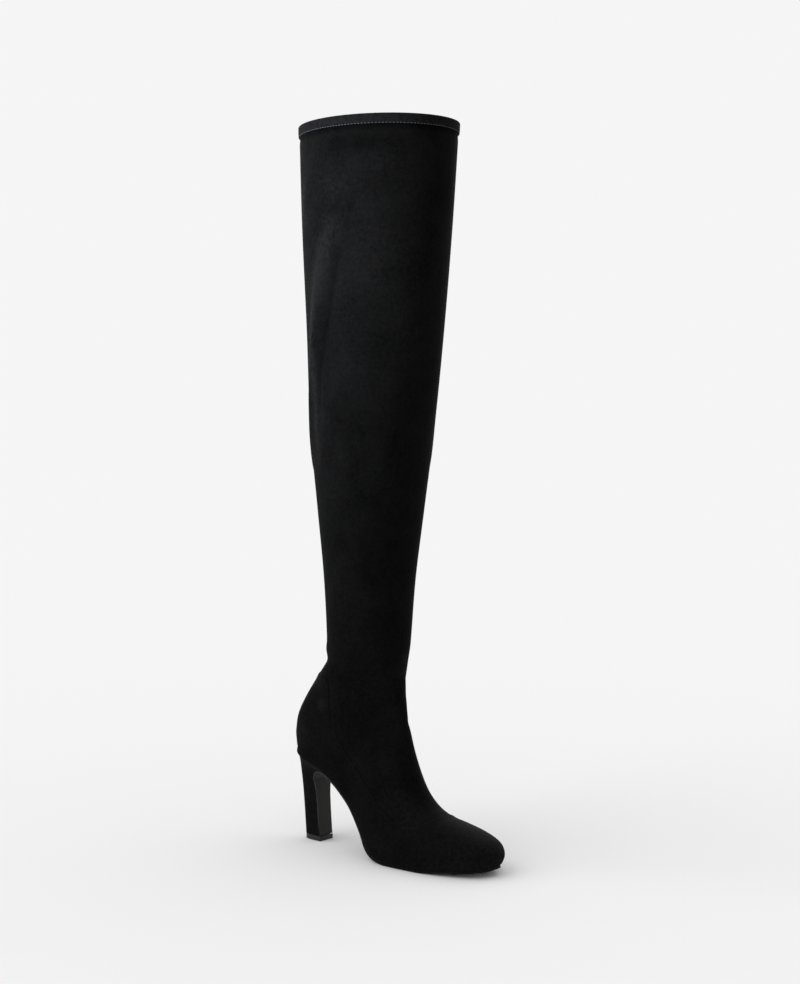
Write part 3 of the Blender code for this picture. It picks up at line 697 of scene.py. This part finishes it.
def outsole_grid():
    """The outsole's inner face from the toe along the waist and down the breast."""
    toe = TOE_START + (TOE_END - TOE_START) * np.sin(np.linspace(np.pi / 2, 0, 40))
    along = np.concatenate([toe, np.linspace(TOE_START, ARCH_END, 70)[1:-1]])
    path = heel_path()
    path_half = heel_half(heel_climb(path[:, 0], path[:, 1]), path[:, 0], np.zeros(len(path)))
    return across_rows(
        np.concatenate([level(along), path[:, 0]]),
        np.concatenate([sole_rise(along) - FIT_GAP, path[:, 1]]),
        np.concatenate([sole_swing(along), sole_swing(share(path[:, 0]))]),
        np.concatenate([sole_half(along), path_half]),
        SOLE_COLUMNS,
    )


def outsole_wall(points):
    """The outsole is thick under the forefoot and skived thin for the waist and the flap."""
    skived = smooth_line([0, ARCH_END, WAIST_END, 1], [1, 1, 0, 0], share(points[..., 0]))
    return SOLE_THICKNESS + (FLAP_THICKNESS - SOLE_THICKNESS) * skived


def insole_grid():
    """The insole's lower face, the sole's outline drawn in on all sides."""
    middle_along = (SEAT_BACK + TOE_END) / 2
    sole_along = middle_along + (TOE_END - SEAT_BACK) / 2 * np.cos(np.linspace(np.pi, 0, 90))
    along = middle_along + (sole_along - middle_along) * INSOLE_LENGTH
    return across_rows(
        level(along), sole_rise(along) + FIT_GAP, sole_swing(along),
        sole_half(sole_along) * INSOLE_SCALE, SOLE_COLUMNS,
    )


def sheet_mesh(name, grids, attribute=None):
    """A smooth open mesh through grids of points, welded where they meet; each grid comes with one
    value a point if an attribute is named."""
    mesh = bmesh.new()
    layer = mesh.verts.layers.float.new(attribute) if attribute else None
    for grid in grids:
        points, values = grid if attribute else (grid, None)
        verts = [[mesh.verts.new(point) for point in row] for row in points]
        if attribute:
            for row, row_values in zip(verts, values):
                for vert, value in zip(row, row_values):
                    vert[layer] = value
        for row, following in zip(verts, verts[1:]):
            for a, b, c, d in zip(row, row[1:], following[1:], following):
                mesh.faces.new((a, b, c, d))
    bmesh.ops.remove_doubles(mesh, verts=mesh.verts, dist=WELD)
    return finished_mesh(name, mesh)


def loft_mesh(name, rings, attribute=None, value=0):
    """A closed mesh through rings that are each a mirror outline, capped straight across; every
    point has the same value of the attribute if one is named."""
    mesh = bmesh.new()
    layer = mesh.verts.layers.float.new(attribute) if attribute else None
    verts = [[mesh.verts.new(point) for point in ring] for ring in rings]
    if attribute:
        for vert in mesh.verts:
            vert[layer] = value
    for ring, following in zip(verts, verts[1:]):
        for i in range(len(ring)):
            j = (i + 1) % len(ring)
            mesh.faces.new((ring[i], ring[j], following[j], following[i]))
    for ring in (verts[0], verts[-1]):
        count = len(ring)
        for i in range(count // 2):
            corners = [ring[i], ring[i + 1], ring[count - 2 - i], ring[count - 1 - i]]
            mesh.faces.new(list(dict.fromkeys(corners)))
    bmesh.ops.recalc_face_normals(mesh, faces=mesh.faces)
    return finished_mesh(name, mesh)


def finished_mesh(name, mesh):
    data = bpy.data.meshes.new(name)
    mesh.to_mesh(data)
    mesh.free()
    data.shade_smooth()
    return data


def add_piece(data, finishes, node):
    """A piece of the boot that stands for one CAD node, or dresses it if node is None."""
    piece = bpy.data.objects.new(data.name, data)
    bpy.context.scene.collection.objects.link(piece)
    BOOT.objects.link(piece)
    for finish in finishes:
        data.materials.append(finish)
    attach(piece, "root")
    if node:
        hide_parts(node)
    return piece


def give_wall(piece, thickness, local_wall=None, inside=0, rim=0):
    """Turns a sheet into a wall on its inner side; inside and rim pick the finishes there."""
    wall = piece.modifiers.new("wall", "SOLIDIFY")
    wall.thickness = thickness
    wall.offset = -1
    wall.material_offset = inside
    wall.material_offset_rim = rim
    if local_wall is not None:
        group = piece.vertex_groups.new(name="wall")
        points = np.array([vert.co for vert in piece.data.vertices])
        for index, value in enumerate(local_wall(points) / thickness):
            group.add([index], float(value), "REPLACE")
        wall.vertex_group = group.name
        wall.thickness_vertex_group = 0


def round_edges(piece, width, angle=0.6):
    bevel = piece.modifiers.new("rounded edges", "BEVEL")
    bevel.width = width
    bevel.segments = 3
    bevel.limit_method = "ANGLE"
    bevel.angle_limit = angle


def shaft_wall(points):
    """The cloth is thinner where it turns round the fold of the hem."""
    top = COLLAR_HEIGHT * LEG_ROWS[-1].back_height + COLLAR_TILT * points[:, 1]
    return np.where(points[:, 2] > top - HEM_HEIGHT, HEM_CLOTH, SHAFT_WALL)


def stitch_mesh(name):
    """Short stitches of sewing thread in a row round the foot of the hem."""
    spread = np.linspace(-1, 1, 721)
    _, foot, head, out = hem_rings(spread)
    ring = foot + (head - foot) * (STITCH_CLIMB / HEM_HEIGHT) + out * STITCH_STAND
    run = np.concatenate([[0], np.cumsum(np.linalg.norm(np.diff(ring, axis=0), axis=1))])
    count = int(round(run[-1] / STITCH_PITCH))
    pitch = run[-1] / count

    def on_ring(distance):
        return np.stack([np.interp(distance, run, ring[:, axis]) for axis in range(3)], axis=-1)

    mesh = bmesh.new()
    for i in range(count):
        begin = (i + 0.5) * pitch - STITCH_LENGTH / 2
        t = np.linspace(0, 1, STITCH_RINGS)
        middle = on_ring(begin + STITCH_LENGTH * t)
        ahead = middle[-1] - middle[0]
        ahead /= np.linalg.norm(ahead)
        up = np.array([0, 0, 1.0])
        off = np.cross(ahead, up)
        radius = THREAD_RADIUS * np.sqrt(np.clip(1 - (2 * t - 1) ** 4, 0.02, 1))
        rings = []
        for centre, size in zip(middle, radius):
            turn = np.linspace(0, 2 * np.pi, STITCH_SIDES, endpoint=False)
            circle = centre + size * (np.cos(turn)[:, None] * off + np.sin(turn)[:, None] * up)
            rings.append([mesh.verts.new(point) for point in circle])
        for ring_a, ring_b in zip(rings, rings[1:]):
            for j in range(STITCH_SIDES):
                k = (j + 1) % STITCH_SIDES
                mesh.faces.new((ring_a[j], ring_a[k], ring_b[k], ring_b[j]))
        mesh.faces.new(rings[0][::-1])
        mesh.faces.new(rings[-1])
    bmesh.ops.recalc_face_normals(mesh, faces=mesh.faces)
    return finished_mesh(name, mesh)


def linear(colour):
    """An sRGB hex colour as linear red, green, blue and alpha."""
    channels = [int(colour[i:i + 2], 16) / 255 for i in (1, 3, 5)]
    return [c / 12.92 if c <= 0.04045 else ((c + 0.055) / 1.055) ** 2.4 for c in channels] + [1]


def feed(tree, node, inputs):
    """Gives each named input its value or the output that feeds it."""
    for name, value in inputs.items():
        if isinstance(value, bpy.types.NodeSocket):
            tree.links.new(value, node.inputs[name])
        else:
            node.inputs[name].default_value = value


def add_node(tree, kind, inputs=None, **settings):
    """Adds a node with its settings and feeds its inputs."""
    node = tree.nodes.new(kind)
    for name, value in settings.items():
        setattr(node, name, value)
    feed(tree, node, inputs or {})
    return node


def new_finish(name):
    """A material, its node tree, its Principled shader and the place of a point on the object."""
    material = bpy.data.materials.new(name)
    material.use_nodes = True
    tree = material.node_tree
    place = add_node(tree, "ShaderNodeTexCoord").outputs["Object"]
    return material, tree, tree.nodes["Principled BSDF"], place


def brushed_microsuede():
    """Microfibre cloth with a raised nap from brushing: it swallows light face on, shows soft grey
    patches where the nap lies another way, carries painted highlights and painted shade from the
    attribute, and has a faint bloom at grazing angles."""
    material, tree, shader, place = new_finish("brushed_microsuede")
    # hand-sized strokes of the nap, about 45 mm across
    strokes = add_node(
        tree, "ShaderNodeTexNoise",
        {"Vector": place, "Scale": 1 / (45 * MM), "Detail": 5.0, "Roughness": 0.65},
    )
    # mottle of the pressed nap, about 3.5 mm
    mottle = add_node(
        tree, "ShaderNodeTexNoise",
        {"Vector": place, "Scale": 1 / (3.5 * MM), "Detail": 4.0, "Roughness": 0.7},
    )
    # fibres are near 0.1 mm; drawn at 1.1 mm so that they show
    fibres = add_node(
        tree, "ShaderNodeTexNoise",
        {"Vector": place, "Scale": 1 / (1.1 * MM), "Detail": 3.0, "Roughness": 0.7},
    )
    soft = add_node(
        tree, "ShaderNodeMath", {0: strokes.outputs["Fac"], 1: 0.66, 2: -0.36}, operation="MULTIPLY_ADD",
    )
    fine = add_node(
        tree, "ShaderNodeMath", {0: mottle.outputs["Fac"], 1: 0.62, 2: soft.outputs[0]},
        operation="MULTIPLY_ADD",
    )
    grain = add_node(
        tree, "ShaderNodeMath", {0: fibres.outputs["Fac"], 1: 0.46, 2: fine.outputs[0]},
        operation="MULTIPLY_ADD",
    )
    # the attribute's lighter and darker places, painted highlights and painted shade among them, are made
    # uneven by the mottle
    nap_and_painted_light = add_node(tree, "ShaderNodeAttribute", attribute_name="nap_and_painted_light")
    uneven = add_node(
        tree, "ShaderNodeMapRange", {"Value": mottle.outputs["Fac"], "From Min": 0.16, "From Max": 0.80},
    )
    nap = add_node(
        tree, "ShaderNodeMath",
        {0: nap_and_painted_light.outputs["Fac"], 1: uneven.outputs["Result"], 2: grain.outputs[0]},
        operation="MULTIPLY_ADD",
    )
    tone = add_node(tree, "ShaderNodeValToRGB", {"Fac": nap.outputs[0]})
    dark, light = tone.color_ramp.elements
    dark.position, dark.color = 0.15, linear("#010101")
    light.position, light.color = 1.00, linear("#131313")
    relief = add_node(
        tree, "ShaderNodeMath", {0: fibres.outputs["Fac"], 1: 0.6, 2: mottle.outputs["Fac"]},
        operation="MULTIPLY_ADD",
    )
    bump = add_node(
        tree, "ShaderNodeBump", {"Height": relief.outputs[0], "Strength": 0.5, "Distance": 0.5 * MM},
    )
    feed(tree, shader, {
        "Base Color": tone.outputs["Color"], "Normal": bump.outputs["Normal"], "Roughness": 0.95,
        "Specular IOR Level": 0.01, "Sheen Weight": 0.027, "Sheen Roughness": 0.40,
        "Sheen Tint": linear("#dddddd"),
    })
    return material


def jersey_lining():
    """Bonded knitted jersey on the inside: matt charcoal with fine wales."""
    material, tree, shader, place = new_finish("jersey_lining")
    # knitted wales are near 0.6 mm apart; drawn at 1.5 mm so that they show
    wales = add_node(
        tree, "ShaderNodeTexWave",
        {"Vector": place, "Scale": 0.05 / (1.5 * MM), "Distortion": 1.5, "Detail": 2.0},
        bands_direction="DIAGONAL",
    )
    wear = add_node(tree, "ShaderNodeTexNoise", {"Vector": place, "Scale": 1 / (12 * MM), "Detail": 4.0})
    tone = add_node(
        tree, "ShaderNodeMix",
        {"Factor": wear.outputs["Fac"], "A": linear("#17171a"), "B": linear("#232327")}, data_type="RGBA",
    )
    bump = add_node(
        tree, "ShaderNodeBump", {"Height": wales.outputs["Fac"], "Strength": 0.4, "Distance": 0.3 * MM},
    )
    feed(tree, shader, {
        "Base Color": tone.outputs["Result"], "Normal": bump.outputs["Normal"], "Roughness": 0.9,
        "Specular IOR Level": 0.15,
    })
    return material


def sole_sheet():
    """Pressed sole sheet with a satin lacquer: smooth dark grey-brown with faint streaks of rubbing."""
    material, tree, shader, place = new_finish("lacquered_sole_sheet")
    streaks = add_node(
        tree, "ShaderNodeTexNoise",
        {"Vector": place, "Scale": 1 / (9 * MM), "Detail": 6.0, "Roughness": 0.6},
    )
    grain = add_node(tree, "ShaderNodeTexNoise", {"Vector": place, "Scale": 1 / (1.2 * MM), "Detail": 2.0})
    tone = add_node(
        tree, "ShaderNodeMix",
        {"Factor": streaks.outputs["Fac"], "A": linear("#0f0f0c"), "B": linear("#191813")}, data_type="RGBA",
    )
    gloss = add_node(
        tree, "ShaderNodeMapRange", {"Value": streaks.outputs["Fac"], "To Min": 0.38, "To Max": 0.55},
    )
    bump = add_node(
        tree, "ShaderNodeBump", {"Height": grain.outputs["Fac"], "Strength": 0.15, "Distance": 0.2 * MM},
    )
    feed(tree, shader, {
        "Base Color": tone.outputs["Result"], "Normal": bump.outputs["Normal"],
        "Roughness": gloss.outputs["Result"], "Specular IOR Level": 0.20,
    })
    return material


def inked_edge():
    """The sole's trimmed edge, inked and buffed: a dark brown line along the forefoot, and a painted grey
    highlight in streaks where the edge stands higher than 7 mm, up the waist and the flap."""
    material, tree, shader, place = new_finish("inked_sole_edge")
    layers = add_node(tree, "ShaderNodeTexNoise", {"Vector": place, "Scale": 1 / (2.5 * MM), "Detail": 4.0})
    height = add_node(tree, "ShaderNodeSeparateXYZ", {"Vector": place}).outputs["Z"]
    # painted highlight: the edge turns grey, in streaks, where it stands higher than 7 mm
    flap_highlight = add_node(
        tree, "ShaderNodeMapRange", {"Value": height, "From Min": 7 * MM, "From Max": 16 * MM},
    )
    flap_highlight_streaks = add_node(
        tree, "ShaderNodeMath", {0: flap_highlight.outputs["Result"], 1: layers.outputs["Fac"]}, operation="MULTIPLY",
    )
    tone = add_node(
        tree, "ShaderNodeMix",
        {"Factor": flap_highlight_streaks.outputs[0], "A": linear("#0c0a08"), "B": linear("#393735")}, data_type="RGBA",
    )
    bump = add_node(
        tree, "ShaderNodeBump", {"Height": layers.outputs["Fac"], "Strength": 0.2, "Distance": 0.2 * MM},
    )
    feed(tree, shader, {
        "Base Color": tone.outputs["Result"], "Normal": bump.outputs["Normal"], "Roughness": 0.7,
        "Specular IOR Level": 0.08,
    })
    return material


def moulded_lift():
    """Hard moulded rubber of the top lift: near black with a half gloss and fine scuffs."""
    material, tree, shader, place = new_finish("moulded_hard_rubber")
    scuffs = add_node(
        tree, "ShaderNodeTexNoise",
        {"Vector": place, "Scale": 1 / (1.5 * MM), "Detail": 5.0, "Roughness": 0.7},
    )
    tone = add_node(
        tree, "ShaderNodeMix",
        {"Factor": scuffs.outputs["Fac"], "A": linear("#0e0f0f"), "B": linear("#1a1b1b")}, data_type="RGBA",
    )
    gloss = add_node(
        tree, "ShaderNodeMapRange", {"Value": scuffs.outputs["Fac"], "To Min": 0.25, "To Max": 0.5},
    )
    bump = add_node(
        tree, "ShaderNodeBump", {"Height": scuffs.outputs["Fac"], "Strength": 0.15, "Distance": 0.2 * MM},
    )
    feed(tree, shader, {
        "Base Color": tone.outputs["Result"], "Normal": bump.outputs["Normal"],
        "Roughness": gloss.outputs["Result"], "Specular IOR Level": 0.30,
    })
    return material


def sewing_thread():
    """Twisted polyester thread: mid grey with a dull silk sheen."""
    material, tree, shader, place = new_finish("twisted_polyester_thread")
    twist = add_node(tree, "ShaderNodeTexNoise", {"Vector": place, "Scale": 1 / (0.9 * MM), "Detail": 2.0})
    tone = add_node(
        tree, "ShaderNodeMix",
        {"Factor": twist.outputs["Fac"], "A": linear("#242529"), "B": linear("#484a50")}, data_type="RGBA",
    )
    bump = add_node(
        tree, "ShaderNodeBump", {"Height": twist.outputs["Fac"], "Strength": 0.4, "Distance": 0.2 * MM},
    )
    feed(tree, shader, {
        "Base Color": tone.outputs["Result"], "Normal": bump.outputs["Normal"], "Roughness": 0.75,
        "Specular IOR Level": 0.25,
    })
    return material


def studio_paper():
    """Matt white background paper."""
    material, tree, shader, place = new_finish("studio_paper")
    tooth = add_node(tree, "ShaderNodeTexNoise", {"Vector": place, "Scale": 1 / (3 * MM), "Detail": 2.0})
    bump = add_node(
        tree, "ShaderNodeBump", {"Height": tooth.outputs["Fac"], "Strength": 0.1, "Distance": 0.1 * MM},
    )
    feed(tree, shader, {
        "Base Color": linear(PAPER), "Normal": bump.outputs["Normal"], "Roughness": 1.0,
        "Specular IOR Level": 0.0,
    })
    return material


def add_light(kind, name, place, target, energy, only=None, **shape):
    """A light that shines from one place toward another, on one collection only if it is given;
    shape holds its own settings."""
    light = bpy.data.lights.new(name, kind)
    light.energy = energy
    for setting, value in shape.items():
        setattr(light, setting, value)
    lamp = bpy.data.objects.new(name, light)
    lamp.location = place
    lamp.rotation_mode = "QUATERNION"
    lamp.rotation_quaternion = (Vector(target) - Vector(place)).to_track_quat("-Z", "Y")
    lamp.light_linking.receiver_collection = only
    bpy.context.scene.collection.objects.link(lamp)


def dress_boot():
    suede = brushed_microsuede()
    lining = jersey_lining()
    # the attribute holds the colour lift of each point, painted highlights and painted shade included
    upper = add_piece(sheet_mesh("upper_suede", upper_grids(), "nap_and_painted_light"), [suede, lining], "upper")
    give_wall(upper, UPPER_WALL, inside=1)
    shaft = add_piece(sheet_mesh("shaft_suede", [shaft_grid()], "nap_and_painted_light"), [suede, lining], "shaft")
    give_wall(shaft, SHAFT_WALL, shaft_wall, inside=1)
    add_piece(stitch_mesh("hem_stitches"), [sewing_thread()], None)
    outsole = add_piece(
        sheet_mesh("outsole_sheet", [outsole_grid()]), [sole_sheet(), inked_edge()], "outsole",
    )
    give_wall(outsole, SOLE_THICKNESS, outsole_wall, rim=1)
    round_edges(outsole, 0.7 * MM)
    insole = add_piece(sheet_mesh("insole_lined", [insole_grid()]), [lining], "insole")
    give_wall(insole, INSOLE_THICKNESS)
    heel = add_piece(loft_mesh("heel_cover", heel_rings(), "nap_and_painted_light", HEEL_NAP), [suede], "heel")
    round_edges(heel, 0.6 * MM)
    lift = add_piece(loft_mesh("top_lift_rubber", lift_rings()), [moulded_lift()], "top_lift")
    round_edges(lift, 0.5 * MM)


def set_stage():
    """A wide sheet of pale paper in an evenly white room. One very wide soft light comes from the
    upper left. A softbox that lifts the upper part of the shaft and a fill for the hidden side
    shine on the boot alone, so that the paper stays even."""
    bpy.ops.mesh.primitive_circle_add(vertices=96, radius=60, fill_type="NGON")
    floor = bpy.context.object
    floor.name = "studio_floor"
    floor.data.materials.append(studio_paper())

    world = bpy.data.worlds.new("white_room")
    world.use_nodes = True
    tree = world.node_tree
    room = tree.nodes["Background"]
    feed(tree, room, {"Color": linear("#ffffff"), "Strength": ROOM_LIGHT})
    # the wall behind the boot is as light as the paper, so no line shows where they meet
    wall_light = linear(PAPER)[0] * (ROOM_LIGHT + WIDE_LIGHT * WIDE_LIGHT_FROM.normalized().z / np.pi)
    wall = add_node(tree, "ShaderNodeBackground", {"Color": linear("#ffffff"), "Strength": wall_light})
    seen = add_node(tree, "ShaderNodeLightPath").outputs["Is Camera Ray"]
    mix = add_node(tree, "ShaderNodeMixShader", {0: seen, 1: room.outputs[0], 2: wall.outputs[0]})
    tree.links.new(mix.outputs[0], tree.nodes["World Output"].inputs["Surface"])
    bpy.context.scene.world = world
    add_light("SUN", "wide_soft_light", WIDE_LIGHT_FROM, (0, 0, 0), WIDE_LIGHT, angle=WIDE_LIGHT_SPREAD)
    add_light(
        "AREA", "collar_softbox", COLLAR_LIGHT_AT, COLLAR_LIGHT_TO, COLLAR_LIGHT,
        only=BOOT, color=COLLAR_LIGHT_TINT, shape="RECTANGLE", size=COLLAR_LIGHT_SIZE[0],
        size_y=COLLAR_LIGHT_SIZE[1], spread=COLLAR_LIGHT_SPREAD,
    )
    add_light("SUN", "back_fill", BACK_LIGHT_FROM, (0, 0, 0), BACK_LIGHT, only=BOOT, angle=BACK_LIGHT_SPREAD)


def set_camera():
    lens = bpy.data.cameras.new("photo_camera")
    lens.sensor_width = 36
    lens.lens = FOCAL_LENGTH
    camera = bpy.data.objects.new("photo_camera", lens)
    camera.location = CAMERA_AT
    camera.rotation_mode = "QUATERNION"
    aim = (LOOK_AT - CAMERA_AT).to_track_quat("-Z", "Y")
    camera.rotation_quaternion = aim @ Quaternion((0, 0, 1), CAMERA_ROLL)
    bpy.context.scene.collection.objects.link(camera)
    bpy.context.scene.camera = camera


dress_boot()
set_stage()
set_camera()
bpy.context.scene.view_settings.view_transform = "Standard"
